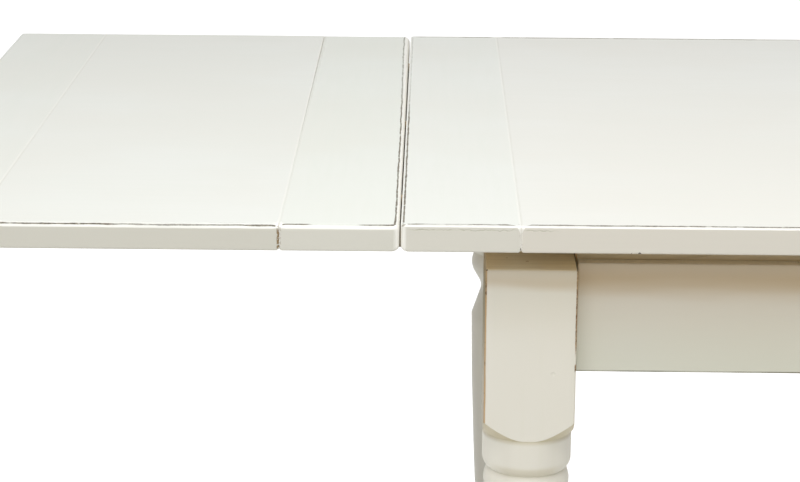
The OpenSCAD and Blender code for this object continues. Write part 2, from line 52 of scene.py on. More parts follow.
class Wire:
    # one output of a shader node, written in sums like a number
    def __init__(self, nodes, socket):
        self.nodes = nodes
        self.socket = socket

    def sum(self, operation, *values):
        return self.nodes.add("ShaderNodeMath", {"operation": operation}, *values)[0]

    def __add__(self, other):
        return self.sum("ADD", self, other)

    def __radd__(self, other):
        return self.sum("ADD", other, self)

    def __sub__(self, other):
        return self.sum("SUBTRACT", self, other)

    def __rsub__(self, other):
        return self.sum("SUBTRACT", other, self)

    def __mul__(self, other):
        return self.sum("MULTIPLY", self, other)

    def __rmul__(self, other):
        return self.sum("MULTIPLY", other, self)

    def __truediv__(self, other):
        return self.sum("DIVIDE", self, other)

    def __rtruediv__(self, other):
        return self.sum("DIVIDE", other, self)

    def __neg__(self):
        return self.sum("SUBTRACT", 0.0, self)

    def __abs__(self):
        return self.sum("ABSOLUTE", self)

    def upTo(self, other):
        return self.sum("MINIMUM", self, other)

    def atLeast(self, other):
        return self.sum("MAXIMUM", self, other)

    def rise(self, low, high):
        # 0 below low, 1 above high, smooth between; low above high turns it round
        settings = {"interpolation_type": "SMOOTHSTEP"}
        if low < high:
            return self.nodes.add("ShaderNodeMapRange", settings, self, low, high, 0.0, 1.0)[0]
        return self.nodes.add("ShaderNodeMapRange", settings, self, high, low, 1.0, 0.0)[0]

    def over(self, level, low, high):
        # the same between two heights in mm over a level
        return self.rise(level + low * mm, level + high * mm)


class NodeEnds:
    # a new node's outputs, by place or by name
    def __init__(self, nodes, node):
        self.nodes = nodes
        self.node = node

    def __getitem__(self, key):
        return Wire(self.nodes, self.node.outputs[key])


class Nodes:
    # the shader nodes of a material or of the world
    def __init__(self, owner, surface):
        owner.use_nodes = True
        self.tree = owner.node_tree
        self.surface = self.tree.nodes[surface]

    def add(self, kind, settings, *values, **named):
        node = self.tree.nodes.new(kind)
        for key, value in settings.items():
            setattr(node, key, value)
        for place, value in list(enumerate(values)) + list(named.items()):
            self.put(node.inputs[place], value)
        return NodeEnds(self, node)

    def put(self, socket, value):
        if isinstance(value, Wire):
            self.tree.links.new(value.socket, socket)
        elif socket.type == "RGBA" and len(value) == 3:
            socket.default_value = (*value, 1.0)
        else:
            socket.default_value = value

    def set(self, **values):
        # the surface's sockets by name, with _ for a space
        for name, value in values.items():
            self.put(self.surface.inputs[name.replace("_", " ")], value)

    def shownRays(self):
        # 1 for a ray that shows the background: from the camera, mirrored or through glass
        rays = self.add("ShaderNodeLightPath", {})
        return rays["Is Camera Ray"].atLeast(rays["Is Glossy Ray"]).atLeast(rays["Is Transmission Ray"])


class Finish(Nodes):
    # a material in the making
    def __init__(self, name):
        self.material = bpy.data.materials.new(name)
        super().__init__(self.material, "Principled BSDF")
        self.point = self.add("ShaderNodeTexCoord", {})["Object"]

    def attributes(self, *names):
        return [self.add("ShaderNodeAttribute", {"attribute_name": name})["Fac"] for name in names]

    def stretched(self, scale):
        return self.add("ShaderNodeVectorMath", {"operation": "MULTIPLY"}, self.point, scale)[0]

    def cloud(self, scale, detail=2.0, roughness=0.5, point=None):
        # noise around 0.5; the scale is in lumps per metre
        where = point or self.point
        return self.add("ShaderNodeTexNoise", {"noise_dimensions": "3D"}, Vector=where, Scale=scale,
                        Detail=detail, Roughness=roughness)["Fac"]

    def axes(self):
        split = self.add("ShaderNodeSeparateXYZ", {}, self.point)
        return split["X"], split["Y"], split["Z"]

    def near(self, spot):
        # distance in metres from a fixed spot on the piece
        return self.add("ShaderNodeVectorMath", {"operation": "DISTANCE"}, self.point, spot)["Value"]

    def blend(self, share, first, second):
        ends = self.add("ShaderNodeMix", {"data_type": "RGBA"})
        self.put(ends.node.inputs[0], share)
        self.put(ends.node.inputs[6], first)
        self.put(ends.node.inputs[7], second)
        return ends[2]

    def emboss(self, height, strength, distance):
        bump = self.add("ShaderNodeBump", {}, Strength=strength, Distance=distance, Height=height)
        self.put(self.surface.inputs["Normal"], bump["Normal"])


def fromHex(text):
    # a colour as it is written on screen, in linear light
    parts = [int(text[i:i + 2], 16) / 255 for i in (0, 2, 4)]
    return tuple(p / 12.92 if p <= 0.04045 else ((p + 0.055) / 1.055) ** 2.4 for p in parts)


def palette(**colours):
    return {name: fromHex(text) for name, text in colours.items()}


camera = {
    "place": (-0.8740, -2.6349, 1.3439),
    "yaw": 0.0123,
    "pitch": 0.26595,
    "roll": 0.0062,
    "focalPixels": 2451.2,
    "pictureWide": 800,
    "sensor": 36.0,
}


def cameraAxes():
    yaw, pitch, roll = camera["yaw"], camera["pitch"], camera["roll"]
    right = Vector((math.cos(yaw), math.sin(yaw), 0))
    ahead = Vector((-math.sin(yaw), math.cos(yaw), 0))
    up = Vector((0, 0, 1))
    view = ahead * math.cos(pitch) - up * math.sin(pitch)
    head = up * math.cos(pitch) + ahead * math.sin(pitch)
    rolledRight = right * math.cos(roll) + head * math.sin(roll)
    rolledHead = head * math.cos(roll) - right * math.sin(roll)
    return rolledRight, rolledHead, view


def setCamera():
    right, head, view = cameraAxes()
    data = bpy.data.cameras.new("camera")
    data.sensor_width = camera["sensor"]
    data.lens = camera["focalPixels"] * camera["sensor"] / camera["pictureWide"]
    body = bpy.data.objects.new("camera", data)
    scene.collection.objects.link(body)
    turn = Matrix((right, head, -view)).transposed()
    body.matrix_world = Matrix.Translation(Vector(camera["place"])) @ turn.to_4x4()
    scene.camera = body


setCamera()
print("camera set")

studio = {
    "floorColour": fromHex("f4f4f2"),
    "floorHalf": 14.0,
    "floorGlow": 0.85,
    "worldLight": 0.28,
    "keyPower": 49.0,
    "keyPlace": (-1.1, -2.3, 2.7),
    "keyAim": (-0.7, -0.1, 0.7),
    "keySize": 2.2,
    "topPower": 25.5,
    "topPlace": (-0.6, -0.7, 2.9),
    "topSize": 2.0,
    "lightColour": (1.0, 0.985, 0.955),
}


def areaLight(name, place, aim, size, power):
    data = bpy.data.lights.new(name, "AREA")
    data.shape = "SQUARE"
    data.size = size
    data.energy = power
    data.color = studio["lightColour"]
    lamp = bpy.data.objects.new(name, data)
    lamp.location = place
    lamp.rotation_euler = (Vector(aim) - Vector(place)).to_track_quat("-Z", "Y").to_euler()
    scene.collection.objects.link(lamp)


def setStudio():
    areaLight("keySoftbox", studio["keyPlace"], studio["keyAim"], studio["keySize"], studio["keyPower"])
    over = Vector(studio["topPlace"])
    areaLight("topSoftbox", over, over - Vector((0, 0, 1)), studio["topSize"], studio["topPower"])
    scene.world = bpy.data.worlds.new("paleRoom")
    room = Nodes(scene.world, "Background")
    level = studio["worldLight"]
    room.set(Color=(1, 1, 1), Strength=level + room.shownRays() * (1 - level))

    half = studio["floorHalf"]
    mesh = bpy.data.meshes.new("studioFloor")
    corners = [(-half, -half, 0), (half, -half, 0), (half, half, 0), (-half, half, 0)]
    mesh.from_pydata(corners, [], [(0, 1, 2, 3)])
    floor = bpy.data.objects.new("studioFloor", mesh)
    scene.collection.objects.link(floor)
    finish = Finish("floorPale")
    finish.set(Base_Color=studio["floorColour"], Roughness=0.9, Emission_Strength=studio["floorGlow"],
               Emission_Color=finish.blend(finish.shownRays(), (0, 0, 0), (1, 1, 1)))
    mesh.materials.append(finish.material)


setStudio()
print("studio set")


def newPiece(name, mesh, body, replaced):
    piece = bpy.data.objects.new(name, mesh)
    scene.collection.objects.link(piece)
    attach(piece, body)
    if replaced:
        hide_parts(*replaced)
    return piece


def closeMesh(name, verts, faces, notes, sharpAngle=32.0):
    # notes are named lists of one number for each point, kept as attributes
    work = bmesh.new()
    layers = {key: work.verts.layers.float.new(key) for key in notes}
    points = []
    for i, place in enumerate(verts):
        point = work.verts.new(place)
        for key, layer in layers.items():
            point[layer] = notes[key][i]
        points.append(point)
    for face in faces:
        work.faces.new([points[i] for i in face])
    bmesh.ops.remove_doubles(work, verts=work.verts, dist=2e-6)
    bmesh.ops.dissolve_degenerate(work, edges=work.edges, dist=2e-6)
    bmesh.ops.recalc_face_normals(work, faces=work.faces)
    mesh = bpy.data.meshes.new(name)
    work.to_mesh(mesh)
    work.free()
    mesh.shade_smooth()
    mesh.set_sharp_from_angle(angle=math.radians(sharpAngle))
    return mesh


def ringFaces(columns, rows):
    # quads between neighbouring columns of points, and a face over each end
    faces = []
    for c in range(columns):
        d = (c + 1) % columns
        for j in range(rows - 1):
            faces.append((c * rows + j, c * rows + j + 1, d * rows + j + 1, d * rows + j))
    faces.append([c * rows for c in range(columns)])
    faces.append([c * rows + rows - 1 for c in range(columns)][::-1])
    return faces


def wobble(place, size):
    # a smooth random number from about -1 to 1 that is the same each run
    return noise.noise(Vector(place) / size)


boardShape = {
    "spacing": 6 * mm,        # between points along an edge
    "flatRings": (30, 18, 11, 6.5, 4, 2.4, 1.3, 0.6, 0),   # distances in from the rounding, in mm
    "backRings": 6,           # how many of them the back has
    "faceShares": (0.08, 0.2, 0.5, 0.8, 0.92),             # rows down the upright face
    "arcSteps": 6,
    "cornerSteps": 6,
    "wander": 0.16, "wanderLong": 45 * mm,     # share by which the rounding changes along an edge
    "flutter": 0.08, "flutterLong": 12 * mm,
    "dentDeep": 0.9 * mm, "dentLong": 17.647 * mm, "dentRare": 0.45,
    "jointBand": 9 * mm,      # how far from a corner a line that runs round it counts as being
}


def boardLevels(thick, radius, under):
    # one list of (inset, height, edge, foot) from the middle of the face to the middle of the back
    # edge: way over the surface from the top of the rounding, foot: way from the face's lower end
    quarter = math.pi / 2
    turns = [i / boardShape["arcSteps"] for i in range(boardShape["arcSteps"] + 1)]
    levels = [(radius + extra * mm, thick, -extra * mm, thick) for extra in boardShape["flatRings"]]
    for t in turns[1:]:
        a = quarter * t
        levels.append((radius * (1 - math.sin(a)), thick - radius * (1 - math.cos(a)),
                       radius * a, thick))
    reach = radius * quarter
    face = thick - radius - under
    for share in boardShape["faceShares"]:
        levels.append((0, thick - radius - face * share, reach + face * share, face * (1 - share)))
    for t in turns:
        a = quarter * t
        levels.append((under * (1 - math.cos(a)), under * (1 - math.sin(a)),
                       reach + face + under * a, -under * a))
    for extra in reversed(boardShape["flatRings"][:boardShape["backRings"]]):
        below = under * quarter + extra * mm
        levels.append((under + extra * mm, 0, reach + face + below, -below))
    return levels


def between(first, second, t):
    return first + (second - first) * t


# an edge of a board: its rounding, the rounding below, how worn it is, half the breadth of its worn
# line, how chipped its ends are, how much painted highlight (+) or painted shade (-) a seam side gets,
# and where the line runs, in mm over the rounding
Side = namedtuple("Side", "radius under wear broad chip pale line", defaults=(0.0, 0.0, 0.0))


def wornBoard(name, size, sides, corners, place, spots=(), joined=()):
    # a plank of size (long, wide, thick) with its show face up, placed by a matrix
    # sides: the edges -v, +u, +v, -u; corners: plan rounding after each
    # spots: (u, v, reach, extra rounding, extra below) where a corner is rubbed rounder
    # joined: the corners that the worn line runs round
    long, wide, thick = size
    ring = [Vector((0, 0)), Vector((long, 0)), Vector((long, wide)), Vector((0, wide))]
    normals = [Vector((0, -1)), Vector((1, 0)), Vector((0, 1)), Vector((-1, 0))]
    lengths = [long, wide, long, wide]

    def levelsAt(k, flat):
        radius = sides[k].radius
        spot = place @ Vector((flat.x, flat.y, thick))
        change = (boardShape["wander"] * wobble(spot, boardShape["wanderLong"])
                  + boardShape["flutter"] * wobble(spot, boardShape["flutterLong"]))
        dent = max(0, wobble(spot, boardShape["dentLong"]) - boardShape["dentRare"])
        grown = radius * (1 + change) + boardShape["dentDeep"] * dent * min(1, radius / (3 * mm))
        under = sides[k].under
        for u, v, reach, extra, extraUnder in spots:
            near = math.exp(-((flat - Vector((u, v))).length / reach) ** 2)
            grown += extra * near
            under += extraUnder * near * (k % 2)
        return boardLevels(thick, grown, under)

    turned = []      # the levels of the two sides that meet at the corner after side k
    for k in range(4):
        corner = ring[(k + 1) % 4]
        turned.append((levelsAt(k, corner), levelsAt((k + 1) % 4, corner)))

    def cornerWays(k, j):
        # insets from both sides at the corner after side k, and the plan rounding left between them
        one, other = turned[k][0][j][0], turned[k][1][j][0]
        return one, other, max(corners[k] - (one + other) / 2, 0)

    verts = []
    names = ("edge", "foot", "corner", "turn", "wear", "broad", "chip", "pale", "line")
    notes = {note: [] for note in names}

    def take(*values):
        for note, value in zip(names, values):
            notes[note].append(value)

    columns = 0
    for k in range(4):
        nxt, prev = (k + 1) % 4, (k - 1) % 4
        tangent = (ring[nxt] - ring[k]).normalized()
        count = max(3, round(lengths[k] / boardShape["spacing"]))
        for i in range(count + 1):
            share = i / count
            outer = ring[k] + tangent * lengths[k] * share
            nearest = min(share, 1 - share) * lengths[k]
            ahead = share > 0.5
            nearest += corners[k if ahead else prev] * 0.3
            if (k if ahead else prev) in joined:
                nearest = max(nearest, boardShape["jointBand"])
            chipping = sides[k].chip if k % 2 else sides[nxt].chip if ahead else sides[prev].chip
            for j, (inset, height, along, below) in enumerate(levelsAt(k, outer)):
                one, _, bend = cornerWays(prev, j)
                a = one + bend
                _, other, bend = cornerWays(k, j)
                b = other + bend
                flat = ring[k] + tangent * (a + (lengths[k] - a - b) * share) - normals[k] * inset
                verts.append(place @ Vector((flat.x, flat.y, height)))
                take(along / mm, below / mm, nearest / mm, 0.0, sides[k].wear, sides[k].broad,
                     chipping, sides[k].pale, along / mm - sides[k].line)
            columns += 1
        for i in range(1, boardShape["cornerSteps"]):
            t = i / boardShape["cornerSteps"]
            phi = math.pi / 2 * t
            for j, (first, second) in enumerate(zip(*turned[k])):
                one, other, bend = cornerWays(k, j)
                flat = (ring[nxt] - normals[k] * (one + bend * (1 - math.cos(phi)))
                        - normals[nxt] * (other + bend * (1 - math.sin(phi))))
                verts.append(place @ Vector((flat.x, flat.y, between(first[1], second[1], t))))
                along = between(first[2], second[2], t) / mm
                fromCorner = boardShape["jointBand"] / mm if k in joined else 0.0
                take(along, between(first[3], second[3], t) / mm, fromCorner, 4 * t * (1 - t),
                     between(sides[k].wear, sides[nxt].wear, t),
                     between(sides[k].broad, sides[nxt].broad, t),
                     max(sides[k].chip, sides[nxt].chip), 0.0,
                     along - between(sides[k].line, sides[nxt].line, t))
            columns += 1
    return closeMesh(name, verts, ringFaces(columns, len(verts) // columns), notes)


topPaint = {
    **palette(cream="ebeee9", warm="e9eae3", cool="e8ece5",
              face="dad8ce",      # painted shade: greyer on the upright faces
              wood="544d42", primer="8b8476", chip="8a7350", fissure="a0a086",
              ridge="fbfaf4",     # painted highlight: bright upright arrises and the paler side of a seam
              dip="d9d9d0",       # painted shade on the darker side of a seam
              under="e6cfa6"),    # waxed pine below
    "grainShade": 0.72,
    "roughness": 0.42,
}
framePaint = {
    **palette(cream="e9e6dc", warm="e6e0cf", cool="e5e3d5", wood="7a6042", primer="b89a78",
              # after the worn tone, two tones of painted shade: for a leg's outward face, and for its
              # shoulder and turns
              tan="c9aa84", stain="9a9070", grime="c4b78c",
              footLine="6a6754",   # painted shade along an apron's lower arris
              lowTint="cddccc", slotShade="b5b4b8",
              flank="fbfaf0",      # painted light: the turned part's flanks paler than its front
              shade="1f1810",
              under="efe5cc",      # thin old paint on what lies in the slot
              yellowed="c1a87d"),  # painted shade just below the slot, warm and dark
    "grainShade": 0.86,
    "roughness": 0.46,
}
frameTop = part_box("leg_front_left")[1].z
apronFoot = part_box("apron_front")[0].z


def grainScale(axis, along, across):
    # lumps per metre for a cloud that is drawn out along the grain
    return tuple(along if i == axis else across for i in range(3))


def paintCoat(finish, look, brush, tint):
    # the sound paint: its colour, its gloss and its brush marks, ready for wear to be added
    streaks = finish.cloud(1.0, 3.0, 0.55, finish.stretched(brush))
    mottle = finish.cloud(3.2, 3.0, 0.5)
    speckle = finish.cloud(900.0, 1.0)
    colour = finish.blend(mottle.rise(0.35, 0.65), look["cream"], look["warm"])
    colour = finish.blend(streaks.rise(0.45, 0.7) * 0.35, colour, look["cool"])
    colour = finish.blend(tint[1], colour, tint[0])
    gloss = look["roughness"] + (streaks - 0.5) * 0.16 + (mottle - 0.5) * 0.08
    height = streaks * 0.7 + speckle * 0.12 + finish.cloud(22.0, 2.0) * 0.9
    return colour, gloss, height


def bareUnder(finish, colour, gloss, look, share, along):
    # waxed wood where the paint ends, its grain along one axis
    fibre = finish.cloud(1.0, 3.0, 0.6, finish.stretched(grainScale(along, 8.0, 380.0)))
    dark = tuple(look["grainShade"] * part for part in look["under"])
    shade = finish.blend(fibre.rise(0.35, 0.7), look["under"], dark)
    return finish.blend(share, colour, shade), gloss + share * 0.1


def marked(finish, colour, marks):
    # marks: (spot, breadth in mm, colour, share)
    for spot, wide, tone, share in marks:
        mark = finish.near(spot).over(0.0, wide * 0.5, wide * 0.3)
        colour = finish.blend(mark * share, colour, fromHex(tone))
    return colour


def boardPaint(name, look, along, tint, arris, hairline, rubs, marks):
    # along: the axis of the grain; arris: the long edges' rounding in mm
    # hairline: where a crack runs under the rounding, as x from and to; rubs: how much the worn line
    # shows along x; marks: small dark spots
    finish = Finish(name)
    colour, gloss, height = paintCoat(finish, look, grainScale(along, 9.0, 150.0), tint)
    edge, foot, corner, wear, chip = finish.attributes("edge", "foot", "corner", "wear", "chip")
    broad, pale, turn, overLine = finish.attributes("broad", "pale", "turn", "line")
    across, toBack, _ = finish.axes()
    slow = finish.cloud(26.0, 3.0)
    fast = finish.cloud(230.0, 2.0)
    fine = finish.cloud(560.0, 2.0)
    # painted shade: the upright faces take a greyer colour, scaled for each board
    face = finish.blend(tint[1], look["face"], tuple(a * b for a, b in zip(look["face"], tint[2])))
    colour = finish.blend(edge.rise(arris * 1.2, arris * 1.5), colour, face)
    # the boards meet in a soft ridge, with a painted highlight on one side and painted shade on the
    # other
    beside = edge.rise(-2.6, -0.5) * (0.6 + slow.rise(0.4, 0.6) * 0.4)
    colour = finish.blend(beside * pale.atLeast(0.0) * 0.45, colour, look["ridge"])
    colour = finish.blend(beside * (-pale).atLeast(0.0) * 0.45, colour, look["dip"])
    # painted highlight over the worn line, near the corners of chipped ends,
    # on the most worn ends and on the upright corners
    above = overLine.rise(0.8, 2.4) * edge.rise(arris * 1.5, arris * 1.3)
    colour = finish.blend(above * 0.8, colour, look["ridge"])
    vee = (corner + edge.atLeast(0.0) * 0.55).rise(4.6, 3.6)
    vee = vee * chip.rise(0.0, 0.05) * edge.rise(-2.0, -0.5)
    colour = finish.blend(vee * 0.8, colour, look["ridge"])
    endHighlight = (wear - 1.05).rise(0.0, 0.2) * edge.rise(1.0, 3.0)
    colour = finish.blend(endHighlight * 0.8, colour, look["ridge"])
    upright = turn.rise(0.0, 0.6) * 0.3 + turn.rise(0.7, 0.95) * 0.5
    colour = finish.blend(upright * edge.rise(1.0, 4.0) * foot.rise(0.0, 2.0), colour, look["ridge"])

    # the rubbed line where the flat meets the rounding
    wander = ((slow - 0.5) * 0.9 + (fast - 0.5) * 0.5) * broad + corner.rise(7.0, 2.0) * 0.9
    wide = broad * (0.7 + finish.cloud(60.0, 2.0).rise(0.35, 0.7) * 0.4)
    line = (abs(overLine - wander) / wide).rise(1.25, 0.8)
    kept = (finish.cloud(14.0, 3.0, 0.6) + 0.1).rise(0.3, 0.4)
    kept = kept * (0.45 + finish.cloud(95.0, 2.0).rise(0.3, 0.42) * 0.55)
    strong = (wear - 1.0).atLeast(0.0) * (0.4 - toBack.rise(-0.1, 0.15) * 1.1)
    for start, end, share in rubs:
        strong = strong + across.over(start, -5, 5) * across.over(end, 5, -5) * share
    line = line * kept * corner.rise(2.2, 3.6) * (wear * 1.5).upTo(1.0) * strong.upTo(1.0)
    # chips down the upright corners and along the lower arris
    chips = corner.rise(1.7, 0.6) * (fine + chip * 0.16).rise(0.56, 0.62) * edge.rise(4.0, 6.0)
    chips = chips * foot.rise(-0.5, 0.5) * chip.upTo(1.0)
    nicks = abs(foot + 0.6).rise(1.0, 0.3) * finish.cloud(48.0, 3.0, 0.7).rise(0.66, 0.72)
    rubbed = line.atLeast(chips).atLeast(nicks * 0.7)
    height = height - rubbed * 2.4
    if hairline:
        # a fine crack in the paint just under the rounding
        crackAt = edge - arris * 1.6 - 2.2 - (finish.cloud(170.0, 2.0) - 0.5) * 4.5
        crack = abs(crackAt).rise(0.6, 0.2) * across.over(hairline[0], 0, 12)
        crack = crack * across.over(hairline[1], 0, -20) * finish.cloud(45.0, 2.0).rise(0.3, 0.5)
        colour = finish.blend(crack * 0.5, colour, look["fissure"])
        height = height - crack * 1.2
    tone = finish.blend(fine.rise(0.35, 0.65), look["wood"], look["primer"])
    tone = finish.blend(chips.atLeast(nicks), tone, look["chip"])
    colour = finish.blend(rubbed, colour, tone)
    bare = (foot + (slow - 0.5) * 6.0).rise(-10.0, -12.0)
    colour, gloss = bareUnder(finish, colour, gloss, look, bare, along)
    colour = marked(finish, colour, marks)
    finish.set(Base_Color=colour, Roughness=gloss + rubbed * 0.25)
    finish.emboss(height, 0.35, 0.0006)
    return finish.material


table = {
    "seam": 0.16 * mm,
    "arrisUnder": 1.7 * mm,
    "endUnder": 5.5 * mm,
    "planCorner": 6.0 * mm,
    "seamCorner": 1.2 * mm,
    "nearWear": 1.0,
    "farWear": 0.5,
    "endBreadth": 0.85,       # half the breadth of the worn line at the ends, in mm
    # reach, extra rounding and extra below, where an edge is rubbed rounder
    "seamNotch": (4 * mm, 1.2 * mm, 4.4 * mm),          # two boards meet
    "nearCornerRub": (16 * mm, 0.6 * mm, 0.0),          # the left leaf's corners by the open joint
    "farCornerRub": (420 * mm, 3.0 * mm, 0.0),
}
# the rounding of the long sides and of the ends, and where the worn line runs on them in mm, for the
# long sides with half its breadth
leafEdges = {"arris": 5.0 * mm, "endArris": 4.0 * mm, "sideLine": (0.2, 1.5), "endLine": 0.3}
mainEdges = {"arris": 1.5 * mm, "endArris": 1.9 * mm, "sideLine": (-4.5, 2.4), "endLine": -0.7}
sideLines = {
    # the left leaf's own
    "leaf_outer_breadboard_left": (3.7, 0.95),
    "leaf_panel_left": (3.7, 0.95),
    "leaf_inner_breadboard_left": (2.2, 1.1),
}
rubs = [
    # x from and to, how strongly the worn line shows there
    (-1.42, -1.163, 1.0), (-1.163, -1.05, 0.75), (-1.05, -0.984, 0.95), (-0.984, -0.937, 0.12),
    (-0.937, -0.914, 0.7), (-0.914, -0.9, 1.0), (-0.9, -0.882, 0.95), (-0.882, -0.836, 0.42),
    (-0.836, -0.718, 0.85), (-0.718, -0.46, 0.9), (-0.46, -0.2, 0.5), (-0.2, 0.15, 0.65),
    (0.15, 0.5, 0.85), (0.5, 1.05, 0.6), (1.05, 1.24, 0.85), (1.24, 1.42, 0.6),
]

# free: which ends are free, -u and +u; wear and chips: of the same two ends; tint: a colour, its share
# and what the upright faces' colour, a painted shade, is multiplied by
Board = namedtuple("Board", "free body wear chips tint")
tops = {
    "leaf_outer_breadboard_left":
        Board((True, False), "leaf_left", (0.1, 0.0), (0.0, 0.5), ("e6eae4", 0.3, (0.92, 0.93, 0.92))),
    "leaf_panel_left":
        Board((False, False), "leaf_left", (0.0, 0.0), (0.5, 1.0), ("e9ebe7", 0.3, (0.79, 0.8, 0.78))),
    "leaf_inner_breadboard_left":
        Board((False, True), "leaf_left", (0.0, 1.5), (0.4, 0.0), ("e5eae2", 0.35, (0.96, 0.98, 0.99))),
    "main_breadboard_left":
        Board((True, False), "table", (1.8, 0.0), (0.0, 0.15), ("e8ebe6", 0.3, (1.0, 1.0, 1.0))),
    "main_panel":
        Board((False, False), "table", (0.0, 0.0), (0.15, 0.5), ("ebe9e4", 0.35, (1.06, 1.0, 0.98))),
    "main_breadboard_right":
        Board((False, True), "table", (0.0, 1.4), (0.5, 0.0), ("e8eae3", 0.3, (0.97, 0.99, 0.97))),
    "leaf_inner_breadboard_right":
        Board((True, False), "leaf_right", (1.4, 0.0), (0.0, 0.7), ("e9e8e0", 0.3, (1.0, 0.97, 0.95))),
    "leaf_panel_right":
        Board((False, False), "leaf_right", (0.0, 0.0), (0.8, 0.3), ("e7ebe6", 0.3, (0.95, 0.97, 0.96))),
    "leaf_outer_breadboard_right":
        Board((False, True), "leaf_right", (0.0, 0.5), (0.4, 0.0), ("e9eae3", 0.3, (0.98, 0.97, 0.95))),
}
panelEnds = {
    # the boards before and after a panel
    "main_panel": ("main_breadboard_left", "main_breadboard_right"),
    "leaf_panel_left": ("leaf_outer_breadboard_left", "leaf_inner_breadboard_left"),
    "leaf_panel_right": ("leaf_inner_breadboard_right", "leaf_outer_breadboard_right"),
}
hairlines = {
    # where a crack runs, as x from and to
    "main_breadboard_left": (-0.897, -0.789), "main_panel": (-0.792, -0.752),
    "leaf_outer_breadboard_right": (1.31, 1.40),
}
boardMarks = {
    # (x, y, z), breadth in mm, colour, share
    "main_breadboard_left": [
        ((-0.8972, -0.4718, 0.7694), 4.6, "8e8774", 0.85),
        ((-0.8925, -0.4692, 0.77), 4.0, "7c7868", 0.85), ((-0.8893, -0.4692, 0.77), 4.6, "7c7868", 0.85),
        ((-0.8858, -0.4692, 0.77), 3.6, "7c7868", 0.7), ((-0.7902, -0.475, 0.7488), 1.8, "3a3018", 0.9)],
    "main_panel": [
        ((-0.6815, -0.4745, 0.7455), 3.4, "2e2214", 0.95),
        ((-0.689, -0.4745, 0.7455), 1.6, "4a3b26", 0.8)],
}


def boardBox(node):
    # a board's own box, without the tongues that run into its neighbours
    low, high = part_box(node)
    if node in panelEnds:
        before, after = panelEnds[node]
        low.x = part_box(before)[1].x
        high.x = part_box(after)[0].x
    return low, high


def boardSides(board, edges, line):
    # the edges -v, +u, +v and -u, and the plan roundings after each
    lineAt, breadth = line
    ends = []
    for isFree, wear, chips, pale in zip(board.free, board.wear, board.chips, (-1.0, 1.0)):
        radius, under = table["seam"], table["seam"]
        if isFree:
            radius, under, pale = edges["endArris"], table["endUnder"], 0.0
        ends.append(Side(radius, under, wear, table["endBreadth"], chips, pale, edges["endLine"]))
    near, far = [Side(edges["arris"], table["arrisUnder"], wear, breadth, line=lineAt)
                 for wear in (table["nearWear"], table["farWear"])]
    plans = [table["planCorner"] if isFree else table["seamCorner"] for isFree in board.free]
    return [near, ends[1], far, ends[0]], [plans[1], plans[1], plans[0], plans[0]]


def makeTops():
    for node, board in tops.items():
        low, high = boardBox(node)
        size = high - low
        edges = mainEdges if node.startswith("main") else leafEdges
        sides, corners = boardSides(board, edges, sideLines.get(node, edges["sideLine"]))
        spots = []
        for isFree, u in zip(board.free, (0.0, size.x)):
            if not isFree:
                spots.append((u, 0.0, *table["seamNotch"]))
        joined = []
        if node == "leaf_inner_breadboard_left":
            spots.append((size.x, 0.0, *table["nearCornerRub"]))
            spots.append((size.x, size.y, *table["farCornerRub"]))
            joined.append(0)
        mesh = wornBoard(node + "_worn", size, sides, corners, Matrix.Translation(low), spots, joined)
        grain = 0 if "panel" in node else 1
        tint = (fromHex(board.tint[0]), *board.tint[1:])
        here = [rub for rub in rubs if rub[0] < high.x and rub[1] > low.x]
        mesh.materials.append(boardPaint("paint_" + node, topPaint, grain, tint, edges["arris"] / mm,
                                         hairlines.get(node), here, boardMarks.get(node, [])))
        newPiece(node + "_worn", mesh, board.body, [node])
    print("top boards made")


makeTops()

apron = {
    "gap": 0.9 * mm,
    "ease": 1.6 * mm,
    "corner": 1.5 * mm,
    "wear": 0.3,             # of the lower edge
    "tint": (fromHex("e0d8ca"), 0.6),
    "dirtFrom": -45, "dirtShare": 0.75,      # painted shade under the top's overhang: where it starts, in mm over the frame's top, and its share
}


def slotDirtAndShade(finish, colour, gloss, along, start, share):
    # old thin paint on what faces up in the slot, and painted shade, a warm darkening,
    # from start mm over the frame's top
    up = finish.axes()[2]
    cloudy = finish.cloud(24.0, 2.0, 0.5, finish.stretched((0.3, 0.3, 2.0)))
    low = (up + (cloudy - 0.5) * 0.02).over(frameTop, start, -9)
    low = low * (1.0 - up.over(frameTop, -17, -2) * 0.35)
    colour = finish.blend(low * share, colour, framePaint["yellowed"])
    return bareUnder(finish, colour, gloss, framePaint, up.over(frameTop, -1.5, -0.1), along)


def apronPaint(name, along):
    finish = Finish(name)
    colour, gloss, height = paintCoat(finish, framePaint, grainScale(along, 9.0, 150.0), apron["tint"])
    edge, corner, wear = finish.attributes("edge", "corner", "wear")
    fast = finish.cloud(260.0, 2.0)
    line = abs(edge - 1.0 + (fast - 0.5) * 1.6).rise(1.1, 0.4)
    line = line * finish.cloud(20.0, 3.0, 0.6).rise(0.5, 0.6)
    rubbed = line * corner.rise(1.0, 3.0) * (wear * 2.5).upTo(1.0)
    colour = finish.blend(rubbed * 0.8, colour, framePaint["primer"])
    up = finish.axes()[2]
    colour = finish.blend(up.over(frameTop, -12, -117) * 0.33, colour, framePaint["lowTint"])
    # painted shade: a dark line along the lower arris
    footLine = up.over(apronFoot, 2.3, 1.2) * (0.4 + finish.cloud(9.0, 3.0).rise(0.4, 0.55) * 0.5)
    colour = finish.blend(footLine, colour, framePaint["footLine"])
    # painted shade under the top's overhang, and old thin paint in the slot
    colour, gloss = slotDirtAndShade(finish, colour, gloss, along, apron["dirtFrom"], apron["dirtShare"])
    colour = finish.blend(up.over(frameTop, -1.5, -0.1) * 0.5, colour, framePaint["slotShade"])
    finish.set(Base_Color=colour, Roughness=gloss + rubbed * 0.2)
    finish.emboss(height - rubbed * 2.0, 0.35, 0.0006)
    return finish.material


